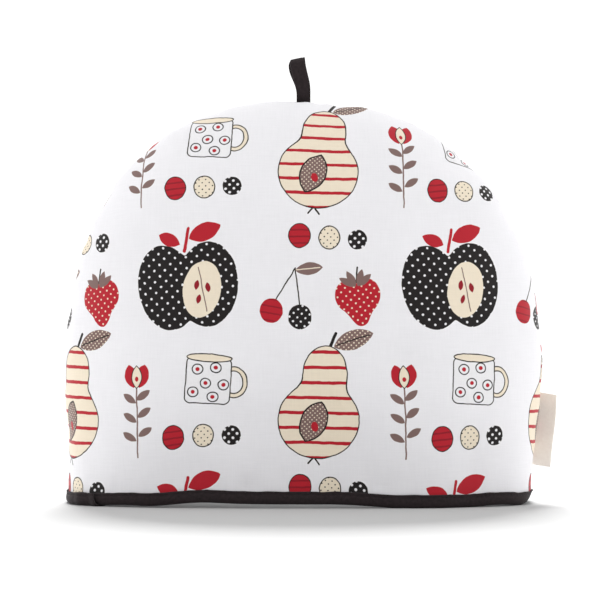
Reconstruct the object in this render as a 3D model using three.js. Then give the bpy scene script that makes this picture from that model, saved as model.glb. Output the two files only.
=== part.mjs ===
// Kettle cosy
// A dome-shaped wadded cover in two cloth panels, seamed along the arch, bound round the hem,
// with a hanging loop in the seam at the top and a blank label in the seam at the right side.
// Millimetres, +Z up, front towards -Y. The cosy stands on its hem at z = 0.

import * as THREE from 'three';
import { mergeVertices } from 'three/addons/utils/BufferGeometryUtils.js';

const { clamp, degToRad, lerp, mapLinear, smoothstep } = THREE.MathUtils;

// Dome: the outer face of the cloth
const DOME = { height: 255, halfWidth: 152.5, halfDepth: 70 };
const SPRING_HEIGHT = 87; // the sides lean in to the arch above this height
const ARCH_POWER = 2.2; // 2 would be a true ellipse, more is squarer shoulders
const PLAN_POWER = { hem: 2.75, arch: 2.05, steadyAbove: 150 }; // squareness of the level sections
const DRAWN_IN = { left: 4, right: 8.4, above: 8, below: 87 }; // how far the binding draws the sides in

// Wadded wall
const WALL = { thick: 7, thinAtHem: 4, thinBelow: 9.5, fullAbove: 34 };
const CLEARANCE = 0.3; // between any two pieces

// Seam between the panels: a soft valley, and on the right it turns a little towards the front
const SEAM = { depth: 2, reach: 4.5, startsAbove: 9, fullAbove: 22 };
const SEAM_TURN = { forward: 6, fromX: 90, toX: 145, fullBelow: 80, goneAbove: 180 };

// Uneven outline, seen from the front: angle round the spring centre, from the right over the top
const OUTLINE_REACH = 8;
const OUTLINE_SWELLS = [
  { angle: -5, out: -1 },
  { angle: 4, out: -0.9 },
  { angle: 12, out: -1.3 },
  { angle: 20, out: -0.8 },
  { angle: 28, out: -1 },
  { angle: 36, out: -1.4 },
  { angle: 44, out: -0.1 },
  { angle: 52, out: -1.7 },
  { angle: 60, out: -0.6 },
  { angle: 68, out: -0.2 },
  { angle: 76, out: -0.5 },
  { angle: 84, out: -1.8 },
  { angle: 92, out: 0 },
  { angle: 100, out: 1.2 },
  { angle: 108, out: 1.1 },
  { angle: 116, out: 2.2 },
  { angle: 124, out: 2.3 },
  { angle: 132, out: 2.1 },
  { angle: 140, out: 0.1 },
  { angle: 148, out: -0.4 },
  { angle: 156, out: -1 },
  { angle: 164, out: -2.6 },
  { angle: 172, out: -1.2 },
  { angle: 180, out: -0.9 },
  { angle: 188, out: -1 },
  { angle: 196, out: -1.6 },
];

// Broad swells and hollows of the two faces
const FACE_SWELLS = [
  { face: 'front', x: 66, z: 218, reach: 34, out: 1.8 },
  { face: 'front', x: 84, z: 176, reach: 40, out: -1.6 },
  { face: 'front', x: -92, z: 196, reach: 46, out: 2 },
  { face: 'front', x: -40, z: 130, reach: 62, out: -1.8 },
  { face: 'front', x: 58, z: 74, reach: 66, out: 2.4 },
  { face: 'front', x: -96, z: 60, reach: 54, out: 1.6 },
  { face: 'back', x: 52, z: 196, reach: 58, out: 2 },
  { face: 'back', x: -62, z: 150, reach: 66, out: -2 },
  { face: 'back', x: -74, z: 52, reach: 52, out: 1.8 },
  { face: 'back', x: 70, z: 84, reach: 60, out: -1.6 },
];

// How far in depth the outline's swells carry, and where the faces' own begin and are full
const SWELLS = { outlineWithin: 25, faceFrom: 4, faceFull: 30 };

// Hem waves: angle round the hem from the middle of the front towards the right
const HEM_WAVES = [
  { angle: -68, reach: 14, lift: 0, out: 1.5 },
  { angle: -40, reach: 18, lift: 0.9, out: 0 },
  { angle: -17, reach: 19, lift: 3.2, out: -2 },
  { angle: 2, reach: 16, lift: 2.2, out: -1.5 },
  { angle: 26, reach: 16, lift: 0, out: 4 },
  { angle: 52, reach: 15, lift: 0.9, out: 0 },
  { angle: 138, reach: 26, lift: 1.4, out: -2.5 },
  { angle: 180, reach: 24, lift: 0, out: 3 },
  { angle: 226, reach: 20, lift: 1.5, out: -2 },
];
const HEM_WAVE_FADES_AT = 90; // height where the waves have died out

// At the right seam the hem's lower edge rolls inwards
const HEM_ROLL = { angle: 90, reach: 25, lift: 3, out: -3.6 };

// Hem binding: one tape folded round the wall's lower edge
const BINDING = { height: 8.1, tape: 1.2, roundOver: 0.5 };

// Hanging loop: a tape that leaves the seam, goes over in a loop and returns behind itself
const LOOP = { width: 9.8, thick: 1.6, rise: 27, eye: 6.4, lean: -3.8, leanFrom: 5, tilt: 11, edge: 0.4 };

// Label: a blank folded tab in the right seam
const LABEL = { bottom: 24, top: 69.5, thick: 1.2, droop: 0.6, curl: 1.6 };
const LABEL_REACH = { bottom: 13, top: 11.4 }; // sewn in a little askew

// Mesh fineness
const PANEL_COLUMNS = 36; // the binding has a step at each
const PANEL_ROWS = { belowSpring: 8, aboveSpring: 18, crowding: 1.15 };
const LOOP_STEPS = 26;
const LABEL_ROWS = 6;
const LABEL_COLUMNS = 3;

const QUARTER_TURN = Math.PI / 2;
const SMALL_STEP = 0.01; // for slopes
const HEM_EDGE = BINDING.tape + CLEARANCE;
const ABOVE_BINDING = BINDING.height + CLEARANCE;

// Helpers
function bump(distance, reach) {
  if (Math.abs(distance) >= reach) {
    return 0;
  }
  return Math.cos((distance / reach) * QUARTER_TURN) ** 2;
}

function signedPower(value, power) {
  return Math.sign(value) * Math.abs(value) ** power;
}

function degreesApart(angle, other) {
  const turn = (angle - other) % 360;
  return turn > 180 ? turn - 360 : turn < -180 ? turn + 360 : turn;
}

// Dome surface
function halfWidthAt(height, side) {
  if (height > SPRING_HEIGHT) {
    const rise = Math.min(1, (height - SPRING_HEIGHT) / (DOME.height - SPRING_HEIGHT));
    return DOME.halfWidth * (1 - rise ** ARCH_POWER) ** (1 / ARCH_POWER);
  }
  const drawn = side > 0 ? DRAWN_IN.right : DRAWN_IN.left;
  return DOME.halfWidth - drawn * (1 - smoothstep(height, DRAWN_IN.above, DRAWN_IN.below));
}

function halfDepthAt(height) {
  return DOME.halfDepth * Math.sqrt(Math.max(0, 1 - (height / DOME.height) ** 2));
}

function planPowerAt(height) {
  const share = smoothstep(height, 0, PLAN_POWER.steadyAbove);
  return PLAN_POWER.hem + (PLAN_POWER.arch - PLAN_POWER.hem) * share;
}

// Angle 0 is the middle of the front, a quarter turn is the right side
function domePoint(angle, height) {
  const power = 2 / planPowerAt(height);
  const across = signedPower(Math.sin(angle), power);
  const depth = signedPower(Math.cos(angle), power);
  const x = halfWidthAt(height, across) * across;
  const y = -halfDepthAt(height) * depth;
  return new THREE.Vector3(x, y, height);
}

function domeNormal(angle, height) {
  if (height > DOME.height - SMALL_STEP) {
    return new THREE.Vector3(0, 0, 1);
  }
  const climb = Math.min(0.5, (DOME.height - height) / 2);
  const along = domePoint(angle + SMALL_STEP, height).sub(domePoint(angle - SMALL_STEP, height));
  const up = domePoint(angle, height + climb).sub(domePoint(angle, height - climb));
  return along.cross(up).normalize();
}

// Unevenness of the cloth, as a distance outwards
function swellAt(point) {
  const outlineAngle = (Math.atan2(point.z - SPRING_HEIGHT, point.x) * 180) / Math.PI;
  const nearSeam = 1 / (1 + (point.y / SWELLS.outlineWithin) ** 2);
  let swell = 0;
  for (const row of OUTLINE_SWELLS) {
    swell += row.out * nearSeam * bump(degreesApart(outlineAngle, row.angle), OUTLINE_REACH);
  }
  const face = point.y < 0 ? 'front' : 'back';
  const awayFromSeam = smoothstep(Math.abs(point.y), SWELLS.faceFrom, SWELLS.faceFull);
  for (const row of FACE_SWELLS) {
    if (row.face === face) {
      const distance = Math.hypot(point.x - row.x, point.z - row.z);
      swell += row.out * awayFromSeam * bump(distance, row.reach);
    }
  }
  return swell * smoothstep(point.z, BINDING.height, 2 * BINDING.height);
}

function hemWaveAt(angle, height) {
  const fade = 1 - smoothstep(height, 0, HEM_WAVE_FADES_AT);
  const degrees = (angle * 180) / Math.PI;
  const wave = { lift: 0, out: 0 };
  for (const row of HEM_WAVES) {
    const share = fade * bump(degreesApart(degrees, row.angle), row.reach);
    wave.lift += row.lift * share;
    wave.out += row.out * share;
  }
  const low = clamp(mapLinear(height, BINDING.tape, ABOVE_BINDING, 1, 0), 0, 1);
  const rolled = low * bump(degreesApart(degrees, HEM_ROLL.angle), HEM_ROLL.reach);
  wave.lift += HEM_ROLL.lift * rolled;
  wave.out += HEM_ROLL.out * rolled;
  return wave;
}

// A point at an angle and height, a distance outside the cloth's face
function clothPoint(angle, height, outside) {
  const point = domePoint(angle, height);
  const wave = hemWaveAt(angle, height);
  const push = outside + wave.out + swellAt(point);
  point.addScaledVector(domeNormal(angle, height), push);
  point.z += wave.lift;
  return point;
}

// Seam
function seamLineAt(height) {
  const turned = 1 - smoothstep(height, SEAM_TURN.fullBelow, SEAM_TURN.goneAbove);
  const x = halfWidthAt(height, 1);
  return -SEAM_TURN.forward * turned * smoothstep(x, SEAM_TURN.fromX, SEAM_TURN.toX);
}

function rightSeamAngle(height) {
  const depth = halfDepthAt(height);
  if (depth < 1) {
    return QUARTER_TURN;
  }
  const share = (-seamLineAt(height) / depth) ** (planPowerAt(height) / 2);
  return QUARTER_TURN - Math.asin(share);
}

function seamValleyAt(angle, height) {
  const seamLine = Math.sin(angle) > 0 ? seamLineAt(height) : 0;
  const distance = domePoint(angle, height).y - seamLine;
  const opened = smoothstep(height, SEAM.startsAbove, SEAM.fullAbove);
  return SEAM.depth * opened * Math.exp(-((distance / SEAM.reach) ** 2));
}

// Closed solid through section loops of one length, capped at both ends unless joined into a ring
function loft(loops, joined = false) {
  const count = loops[0].length;
  const faces = [];
  const addQuad = (a, b, c, d) => faces.push([a, b, c], [a, c, d]);

  const spans = joined ? loops.length : loops.length - 1;
  for (let span = 0; span < spans; span += 1) {
    const here = span * count;
    const next = ((span + 1) % loops.length) * count;
    for (let i = 0; i < count; i += 1) {
      const j = (i + 1) % count;
      addQuad(here + i, here + j, next + j, next + i);
    }
  }

  if (!joined) {
    const last = (loops.length - 1) * count;
    for (let i = 0; i < count / 2 - 1; i += 1) {
      const k = count - 1 - i;
      addQuad(i, k, k - 1, i + 1);
      addQuad(last + i, last + i + 1, last + k - 1, last + k);
    }
  }

  const geometry = new THREE.BufferGeometry().setFromPoints(loops.flat());
  geometry.setIndex(faces.flat());
  return withoutEmptyFaces(mergeVertices(geometry, 0.001));
}

function withoutEmptyFaces(geometry) {
  const kept = [];
  const index = geometry.index.array;
  for (let i = 0; i < index.length; i += 3) {
    const [a, b, c] = index.slice(i, i + 3);
    if (a !== b && b !== c && c !== a) {
      kept.push(a, b, c);
    }
  }
  geometry.setIndex(kept);
  geometry.computeVertexNormals();
  return geometry;
}

// Panels
function wallThicknessAt(height) {
  const share = smoothstep(height, WALL.thinBelow, WALL.fullAbove);
  return WALL.thinAtHem + (WALL.thick - WALL.thinAtHem) * share;
}

function panelRowHeights() {
  const heights = [HEM_EDGE];
  for (let row = 0; row < PANEL_ROWS.belowSpring; row += 1) {
    const share = (row / PANEL_ROWS.belowSpring) ** PANEL_ROWS.crowding;
    heights.push(ABOVE_BINDING + (SPRING_HEIGHT - ABOVE_BINDING) * share);
  }
  for (let row = 0; row <= PANEL_ROWS.aboveSpring; row += 1) {
    const sweep = (row / PANEL_ROWS.aboveSpring) * QUARTER_TURN;
    const share = Math.min(1, Math.sin(sweep) ** (2 / ARCH_POWER));
    heights.push(SPRING_HEIGHT + (DOME.height - SPRING_HEIGHT) * share);
  }
  return heights;
}

// The angles of a panel's columns, from seam to seam: the front runs to the right, the back to the left
function columnAngles(face, height) {
  const from = face === 'front' ? -QUARTER_TURN : rightSeamAngle(height);
  const to = face === 'front' ? rightSeamAngle(height) : 3 * QUARTER_TURN;
  const angles = [];
  for (let column = 0; column <= PANEL_COLUMNS; column += 1) {
    angles.push(from + ((to - from) * column) / PANEL_COLUMNS);
  }
  return angles;
}

// One panel, its cut faces half the clearance away from the seam line
function makePanel(face) {
  const seamShift = face === 'front' ? -CLEARANCE / 2 : CLEARANCE / 2;
  const loops = panelRowHeights().map((height) => {
    const outer = [];
    const inner = [];
    columnAngles(face, height).forEach((angle, column) => {
      const outside = clothPoint(angle, height, -seamValleyAt(angle, height));
      const inside = clothPoint(angle, height, -wallThicknessAt(height));
      if (column === 0 || column === PANEL_COLUMNS) {
        outside.y += seamShift;
        inside.y += seamShift;
      }
      outer.push(outside);
      inner.unshift(inside);
    });
    return [...outer, ...inner];
  });
  return loft(loops);
}

// Hem binding: a U-shaped section carried round the hem
function makeBinding() {
  const { height, tape, roundOver } = BINDING;
  const face = CLEARANCE + tape;
  const back = -WALL.thinAtHem - CLEARANCE - tape;
  const section = [
    { outside: back + roundOver, level: 0 },
    { outside: back, level: roundOver },
    { outside: back, level: height },
    { outside: back + tape, level: height },
    { outside: back + tape, level: tape },
    { outside: face - tape, level: tape },
    { outside: face - tape, level: height },
    { outside: face, level: height },
    { outside: face, level: roundOver },
    { outside: face - roundOver, level: 0 },
  ];
  const alongFront = columnAngles('front', HEM_EDGE).slice(0, -1);
  const alongBack = columnAngles('back', HEM_EDGE).slice(0, -1);
  const around = [...alongFront, ...alongBack];
  const loops = around.map((angle) => (
    section.map(({ outside, level }) => clothPoint(angle, level, outside))
  ));
  return loft(loops, true);
}

// Hanging loop
function loopCentre(along) {
  const turn = along * QUARTER_TURN;
  const rise = LOOP.rise * Math.cos(turn);
  const eyeShare = (LOOP.eye + LOOP.thick) / 2;
  const footShare = (LOOP.thick + CLEARANCE) / 2;
  const y = eyeShare * Math.sin(2 * turn) + footShare * signedPower(along, 4);
  const x = LOOP.lean * smoothstep(rise, LOOP.leanFrom, LOOP.rise);
  return new THREE.Vector3(x, y, rise);
}

function makeLoop() {
  const halfWidth = LOOP.width / 2;
  const halfThick = LOOP.thick / 2;
  const edge = LOOP.edge;
  const section = [
    { wide: halfWidth - edge, thick: -halfThick },
    { wide: -halfWidth + edge, thick: -halfThick },
    { wide: -halfWidth, thick: -halfThick + edge },
    { wide: -halfWidth, thick: halfThick - edge },
    { wide: -halfWidth + edge, thick: halfThick },
    { wide: halfWidth - edge, thick: halfThick },
    { wide: halfWidth, thick: halfThick - edge },
    { wide: halfWidth, thick: -halfThick + edge },
  ];
  const loops = [];
  for (let step = 0; step <= LOOP_STEPS; step += 1) {
    const along = (2 * step) / LOOP_STEPS - 1;
    const centre = loopCentre(along);
    const onward = loopCentre(along + SMALL_STEP).sub(loopCentre(along - SMALL_STEP));
    const tilt = degToRad(LOOP.tilt) * smoothstep(centre.z, LOOP.leanFrom, LOOP.rise);
    const wideways = new THREE.Vector3(Math.cos(tilt), 0, Math.sin(tilt));
    const outwards = new THREE.Vector3(0, -onward.z, onward.y).normalize();
    loops.push(section.map(({ wide, thick }) => {
      const point = centre.clone();
      point.addScaledVector(wideways, wide);
      point.addScaledVector(outwards, thick);
      return point;
    }));
  }
  return loft(loops);
}

// Label: its root follows the seam, its free edge droops and curls a little to the front
function makeLabel() {
  const loops = [];
  for (let row = 0; row <= LABEL_ROWS; row += 1) {
    const height = lerp(LABEL.bottom, LABEL.top, row / LABEL_ROWS);
    const reach = lerp(LABEL_REACH.bottom, LABEL_REACH.top, row / LABEL_ROWS);
    const angle = rightSeamAngle(height);
    const root = clothPoint(angle, height, CLEARANCE - SEAM.depth);
    const outwards = domeNormal(angle, height);
    const sideways = new THREE.Vector3(-outwards.y, outwards.x, 0).setLength(LABEL.thick / 2);
    const front = [];
    const back = [];
    for (let column = 0; column <= LABEL_COLUMNS; column += 1) {
      const share = column / LABEL_COLUMNS;
      const point = root.clone().addScaledVector(outwards, reach * share);
      point.z -= LABEL.droop * share;
      point.y -= LABEL.curl * share ** 2;
      front.push(point.clone().sub(sideways));
      back.unshift(point.clone().add(sideways));
    }
    loops.push([...front, ...back]);
  }
  return loft(loops);
}

// Finishes
const cotton = new THREE.MeshStandardMaterial({ color: 0xf1eff2, roughness: 0.92, metalness: 0 });
const charcoalTape = new THREE.MeshStandardMaterial({ color: 0x30282a, roughness: 0.85, metalness: 0 });
const creamTape = new THREE.MeshStandardMaterial({ color: 0xe9e4dc, roughness: 0.8, metalness: 0 });

// The cosy, its pieces in place
const cosy = new THREE.Group();

function addPiece(name, geometry, material) {
  const piece = new THREE.Mesh(geometry, material);
  piece.name = name;
  cosy.add(piece);
  return piece;
}

addPiece('front_panel', makePanel('front'), cotton);
addPiece('back_panel', makePanel('back'), cotton);
addPiece('hem_binding', makeBinding(), charcoalTape);
addPiece('label', makeLabel(), creamTape);

const loopFoot = DOME.height - SEAM.depth + 2 * CLEARANCE;
addPiece('hanging_loop', makeLoop(), charcoalTape).position.z = loopFoot;

// The origin is under the middle of the whole cosy, label and all
const reach = new THREE.Box3().setFromObject(cosy, true);
const middle = reach.getCenter(new THREE.Vector3());
cosy.position.set(-middle.x, -middle.y, 0);

export default cosy;
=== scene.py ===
# %% [markdown]
# # A kettle cosy
# A cosy is a padded cloth dome that keeps a pot warm. Two panels of printed cotton over wadding are sewn
# together along the arch, one charcoal tape is folded over the lower edge all the way round, a short tape
# loop is caught in the seam at the top, and a blank woven label is caught in the seam at the right.
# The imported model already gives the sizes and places. This script dresses it: each piece is modelled again
# with its creases, folds and stitches, and gets its finish.

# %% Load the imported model
import math
import random

import bmesh
import bpy
import numpy as np
from mathutils import Matrix, Vector


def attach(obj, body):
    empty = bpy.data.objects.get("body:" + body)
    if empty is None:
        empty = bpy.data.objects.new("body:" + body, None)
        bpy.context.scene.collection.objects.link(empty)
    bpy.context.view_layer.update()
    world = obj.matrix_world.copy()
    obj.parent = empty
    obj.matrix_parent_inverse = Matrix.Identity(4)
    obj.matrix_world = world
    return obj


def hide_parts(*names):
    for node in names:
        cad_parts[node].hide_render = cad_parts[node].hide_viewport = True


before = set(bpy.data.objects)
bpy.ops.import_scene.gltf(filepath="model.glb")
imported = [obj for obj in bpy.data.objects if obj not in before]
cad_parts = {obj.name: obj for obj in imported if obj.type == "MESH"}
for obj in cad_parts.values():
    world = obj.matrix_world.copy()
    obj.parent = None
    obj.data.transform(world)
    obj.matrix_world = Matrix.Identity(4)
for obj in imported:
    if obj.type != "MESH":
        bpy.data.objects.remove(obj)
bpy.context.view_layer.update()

print("pieces in the frame:", ", ".join(sorted(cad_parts)))

# %% [markdown]
# ## The camera
# The photograph was taken from far away with a long lens, nearly level with the middle of the cosy. That
# shows in the hem, which curves down by only a few millimetres at the front. A long lens keeps the sides
# from bulging, so it comes before any modelling.

# %% Camera
MM = 0.001
CAMERA_PLACE = (-6.7 * MM, -2201.7 * MM, 128 * MM)
VIEW_WIDTH = 381 * MM  # what the picture's width takes in at the seam's plane
SENSOR_WIDTH = 36


def add_object(name, data):
    thing = bpy.data.objects.new(name, data)
    bpy.context.scene.collection.objects.link(thing)
    return thing


camera_data = bpy.data.cameras.new("camera")
camera_data.sensor_width = SENSOR_WIDTH
camera_data.lens = SENSOR_WIDTH * -CAMERA_PLACE[1] / VIEW_WIDTH
camera = add_object("camera", camera_data)
camera.location = CAMERA_PLACE
camera.rotation_euler = (math.radians(90), 0, 0)
bpy.context.scene.camera = camera
print(f"lens {camera_data.lens:.0f} mm")

# %% [markdown]
# ## The shape of the cloth
# The dome is described once, as a function that gives the point of the cloth at an angle round the cosy
# and a height, in millimetres. The panels, the tape and the label all ask it where the cloth is, so they
# fit each other without any nudging. A level section is a superellipse: squarish at the hem, where the
# cosy stands round a pot, and a true ellipse higher up. Angle 0 is the middle of the front, and a quarter
# turn is the right side.

# %% Sizes of the dome
DOME_MIDDLE = np.array([-4.483, -1.712, 0.0])  # where the dome's own middle is in the part's frame
DOME_HEIGHT = 255
HALF_WIDTH = 152.5
HALF_DEPTH = 70
SPRING_HEIGHT = 87  # the sides lean in above this
ARCH_POWER = 2.2
PLAN_POWER_HEM = 2.75
PLAN_POWER_ARCH = 2.05
PLAN_STEADY_ABOVE = 150
DRAWN_IN_LEFT = 4  # how far the tape draws the sides in
DRAWN_IN_RIGHT = 8.4
DRAWN_IN_BELOW = 8  # from here up to the spring the sides swing out again
QUARTER = math.pi / 2


def smoothstep(value, low, high):
    share = np.clip((value - low) / (high - low), 0, 1)
    return share * share * (3 - 2 * share)


def bump(distance, reach):
    return np.where(np.abs(distance) < reach, np.cos(distance / reach * QUARTER) ** 2, 0)


def signed_power(value, power):
    return np.sign(value) * np.abs(value) ** power


def half_width_at(height, side, drawn_in=True):
    rise = np.clip((height - SPRING_HEIGHT) / (DOME_HEIGHT - SPRING_HEIGHT), 0, 1)
    arch = HALF_WIDTH * (1 - rise ** ARCH_POWER) ** (1 / ARCH_POWER)
    drawn = np.where(side > 0, DRAWN_IN_RIGHT, DRAWN_IN_LEFT) * drawn_in
    upright = HALF_WIDTH - drawn * (1 - smoothstep(height, DRAWN_IN_BELOW, SPRING_HEIGHT))
    return np.where(height > SPRING_HEIGHT, arch, upright)


def half_depth_at(height):
    return HALF_DEPTH * np.sqrt(np.clip(1 - (height / DOME_HEIGHT) ** 2, 0, 1))


def plan_power_at(height):
    share = smoothstep(height, 0, PLAN_STEADY_ABOVE)
    return PLAN_POWER_HEM + (PLAN_POWER_ARCH - PLAN_POWER_HEM) * share


def dome_point(angle, height):
    power = 2 / plan_power_at(height)
    across = signed_power(np.sin(angle), power)
    depth = signed_power(np.cos(angle), power)
    x = half_width_at(height, across) * across
    return np.stack([x, -half_depth_at(height) * depth, height + 0 * x], axis=-1)


def dome_normal(angle, height):
    turn = 0.01
    climb = np.clip((DOME_HEIGHT - height) / 2, 0.001, 0.5)
    along = dome_point(angle + turn, height) - dome_point(angle - turn, height)
    up = dome_point(angle, height + climb) - dome_point(angle, height - climb)
    normal = np.cross(along, up)
    length = np.linalg.norm(normal, axis=-1, keepdims=True)
    at_pole = (height > DOME_HEIGHT - 0.01)[..., None] | (length < 1e-9)
    return np.where(at_pole, [0, 0, 1], normal / np.maximum(length, 1e-9))


print("a point on the right side:", dome_point(np.array(QUARTER), np.array(100.0)).round(1))

# %% [markdown]
# ## Unevenness
# Nothing sewn is even. Each broad swell or hollow is a row in a small table: where it is, how far it
# reaches, and how far it stands out. The outline's swells are given by their angle round the arch, the
# hem's waves by their angle round the hem.

# %% Swells and waves
OUTLINE_REACH = 8
OUTLINE_SWELLS = [  # angle round the spring centre from the right, out
    (-5, -1), (4, -0.9), (12, -1.3), (20, -0.8), (28, -1), (36, -1.4), (44, -0.1), (52, -1.7), (60, -0.6),
    (68, -0.2), (76, -0.5), (84, -1.8), (92, 0), (100, 1.2), (108, 1.1), (116, 2.2), (124, 2.3), (132, 2.1),
    (140, 0.1), (148, -0.4), (156, -1), (164, -2.6), (172, -1.2), (180, -0.9), (188, -1), (196, -1.6),
]
FACE_SWELLS = {  # x, z, reach, out
    "front": [(66, 218, 34, 1.8), (84, 176, 40, -1.6), (-92, 196, 46, 2), (-40, 130, 62, -1.8),
              (58, 74, 66, 2.4), (-96, 60, 54, 1.6)],
    "back": [(52, 196, 58, 2), (-62, 150, 66, -2), (-74, 52, 52, 1.8), (70, 84, 60, -1.6)],
}
HEM_WAVES = [  # angle round the hem, reach, lift, out
    (-68, 14, 0, 1.5), (-40, 18, 0.9, 0), (-17, 19, 3.2, -2), (2, 16, 2.2, -1.5), (26, 16, 0, 4),
    (52, 15, 0.9, 0), (138, 26, 1.4, -2.5), (180, 24, 0, 3), (226, 20, 1.5, -2),
]
WAVES_FADE_AT = 90
HEM_ROLL = (90, 25, 3, -3.6)  # the same numbers, for the lower edge that rolls inwards at the right
ROLL_STARTS = 1.2
ROLL_FADES = 7.2  # over this height
TAPE_HEIGHT = 8.1


def degrees_apart(angle, other):
    return (angle - other + 180) % 360 - 180


def swell_at(point):
    x, y, z = point[..., 0], point[..., 1], point[..., 2]
    outline_angle = np.degrees(np.arctan2(z - SPRING_HEIGHT, x))
    near_seam = 1 / (1 + (y / 25) ** 2)
    swell = 0 * x
    for angle, out in OUTLINE_SWELLS:
        swell = swell + out * near_seam * bump(degrees_apart(outline_angle, angle), OUTLINE_REACH)
    away = smoothstep(np.abs(y), 4, 30)
    for face, rows in FACE_SWELLS.items():
        on_face = (y < 0) if face == "front" else (y >= 0)
        for at_x, at_z, reach, out in rows:
            swell = swell + out * away * on_face * bump(np.hypot(x - at_x, z - at_z), reach)
    return swell * smoothstep(z, TAPE_HEIGHT, 2 * TAPE_HEIGHT)


def hem_wave_at(angle, height):
    fade = 1 - smoothstep(height, 0, WAVES_FADE_AT)
    lift = out = 0
    for at_angle, reach, row_lift, row_out in HEM_WAVES:
        share = fade * bump(degrees_apart(np.degrees(angle), at_angle), reach)
        lift = lift + row_lift * share
        out = out + row_out * share
    at_angle, reach, roll_lift, roll_out = HEM_ROLL
    low = 1 - np.clip((height - ROLL_STARTS) / ROLL_FADES, 0, 1)
    rolled = low * bump(degrees_apart(np.degrees(angle), at_angle), reach)
    return lift + roll_lift * rolled, out + roll_out * rolled


def cloth_point(angle, height, outside):
    """The point at an angle and height, a distance outside the cloth's face, in mm."""
    point = dome_point(angle, height)
    lift, out = hem_wave_at(angle, height)
    push = outside + out + swell_at(point)
    point = point + dome_normal(angle, height) * push[..., None]
    point[..., 2] += lift
    return point


def to_frame(points):
    """From the dome's millimetres to the frame's metres."""
    return (points + DOME_MIDDLE) * MM


# %% [markdown]
# ## The seam
# Along the arch the two panels meet in a narrow valley. On the right it turns a little to the front, so
# the label's root shows. Where a curved seam is sewn, one edge is always a bit longer than the other, and
# that length goes into puckers: short creases square to the seam. They are drawn at random with a fixed
# seed, the same ones for both panels, so the panels still meet.

# %% Seam line, valley and puckers
SEAM_FORWARD = 6
SEAM_DEPTH = 2
SEAM_REACH = 4.5
SEAM_NIP = 0.6  # the last sharp turn of the cloth into the stitches
SEAM_NIP_REACH = 1.3
SEAM_OPENS = (9, 22)  # the heights over which the valley opens above the tape
ARCH_RADIUS = 160  # turns angles round the arch into lengths
chance = random.Random(7)


def seam_line_at(height):
    turned = 1 - smoothstep(height, 80, 180)
    return -SEAM_FORWARD * turned * smoothstep(half_width_at(height, 1), 90, 145)


def right_seam_angle(height):
    depth = np.maximum(half_depth_at(height), 1)
    share = np.clip(-seam_line_at(height) / depth, 0, 1) ** (plan_power_at(height) / 2)
    return QUARTER - np.arcsin(share)


def along_arch(x, z):
    """A length that runs along the seam, from the right hem over the top to the left hem."""
    angle = np.arctan2(np.maximum(z - SPRING_HEIGHT, 0), x)
    below = np.minimum(z - SPRING_HEIGHT, 0)
    return ARCH_RADIUS * angle + np.where(x > 0, below, -below)


def seam_puckers():
    rows = []
    place = -SPRING_HEIGHT + 26
    while place < ARCH_RADIUS * math.pi + SPRING_HEIGHT - 26:
        place += chance.uniform(7, 17)
        rows.append({
            "place": place,
            "reach": chance.uniform(4, 8.5),
            "deep": chance.choice([-1, -1, 1]) * chance.uniform(0.15, 0.6),
            "front": chance.uniform(7, 22),
            "back": chance.uniform(7, 22),
        })
    return rows


OUTLINE_PUCKER_REACH = 13  # away from the seam
OUTLINE_PUCKER_WIDTH = 9  # along it, to each side
OUTLINE_PUCKERS = [  # the ones that show in the photograph: angle round the spring centre, out
    (25.5, 0.6), (33, -0.6), (40, 0.6), (57.5, -0.7), (80.5, -0.7), (84.5, 0.6), (111, -0.6),
    (127.5, -1.1), (135.5, 0.9), (153, 0.8), (158, -0.6),
]
SEAM_PUCKERS = seam_puckers()
print(len(SEAM_PUCKERS), "puckers along the seam")

# %% [markdown]
# ## Creases of the panels
# Three more kinds of unevenness make cotton over wadding look like itself: a few soft creases placed
# where the photograph shows them, ripples just above the tape, where its stitches gather the cloth,
# and shallow lumps of the wadding. All are small pushes along the cloth's normal.

# %% Creases, hem ripples and lumps
CREASES = {  # x, z, half length, half width, turn in degrees, depth
    "front": [
        (66, 233, 9, 5, 60, 0.9), (57, 224, 11, 4.5, 40, 0.7), (79, 222, 10, 5, 115, 0.6),
        (-72, 226, 16, 6, 130, 0.8), (-103, 206, 15, 6, 140, 0.9), (-128, 176, 14, 5, 160, 0.7),
        (67, 72, 44, 12, 118, 0.9), (12, 118, 60, 16, 8, 0.8), (-86, 118, 40, 12, 150, 0.7),
        (112, 92, 30, 9, 80, 0.6), (-20, 26, 16, 7, 95, 0.6), (104, 34, 18, 8, 70, 0.7),
        (-118, 42, 22, 9, 105, 0.6),
    ],
    "back": [
        (-60, 212, 18, 7, 50, 0.9), (70, 214, 16, 6, 130, 0.8), (10, 96, 62, 18, 172, 1.0),
        (-84, 84, 40, 13, 70, 0.8), (92, 60, 34, 11, 110, 0.9), (30, 160, 44, 14, 20, 0.7),
        (-20, 30, 18, 8, 90, 0.7),
    ],
}


def crease_at(face, x, z):
    push = 0 * x
    for at_x, at_z, half_length, half_width, turn, depth in CREASES[face]:
        cos, sin = math.cos(math.radians(turn)), math.sin(math.radians(turn))
        along = ((x - at_x) * cos + (z - at_z) * sin) / half_length
        across = ((z - at_z) * cos - (x - at_x) * sin) / half_width
        bowed = across + 0.35 * along ** 2
        push = push - depth * np.exp(-along ** 2 - bowed ** 2)
    return push


def scattered(count, low, high, reach, out):
    """Random soft bumps: place, reach and height of each."""
    return [(chance.uniform(*low), chance.uniform(*high), chance.uniform(*reach), chance.uniform(*out))
            for _ in range(count)]


HEM_RIPPLES = {face: scattered(70, (-185, 185), (3, 13), (3, 6.5), (-0.55, 0.4)) for face in CREASES}
LUMPS = {face: scattered(90, (-150, 150), (15, 250), (14, 42), (-0.4, 0.4)) for face in CREASES}


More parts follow.
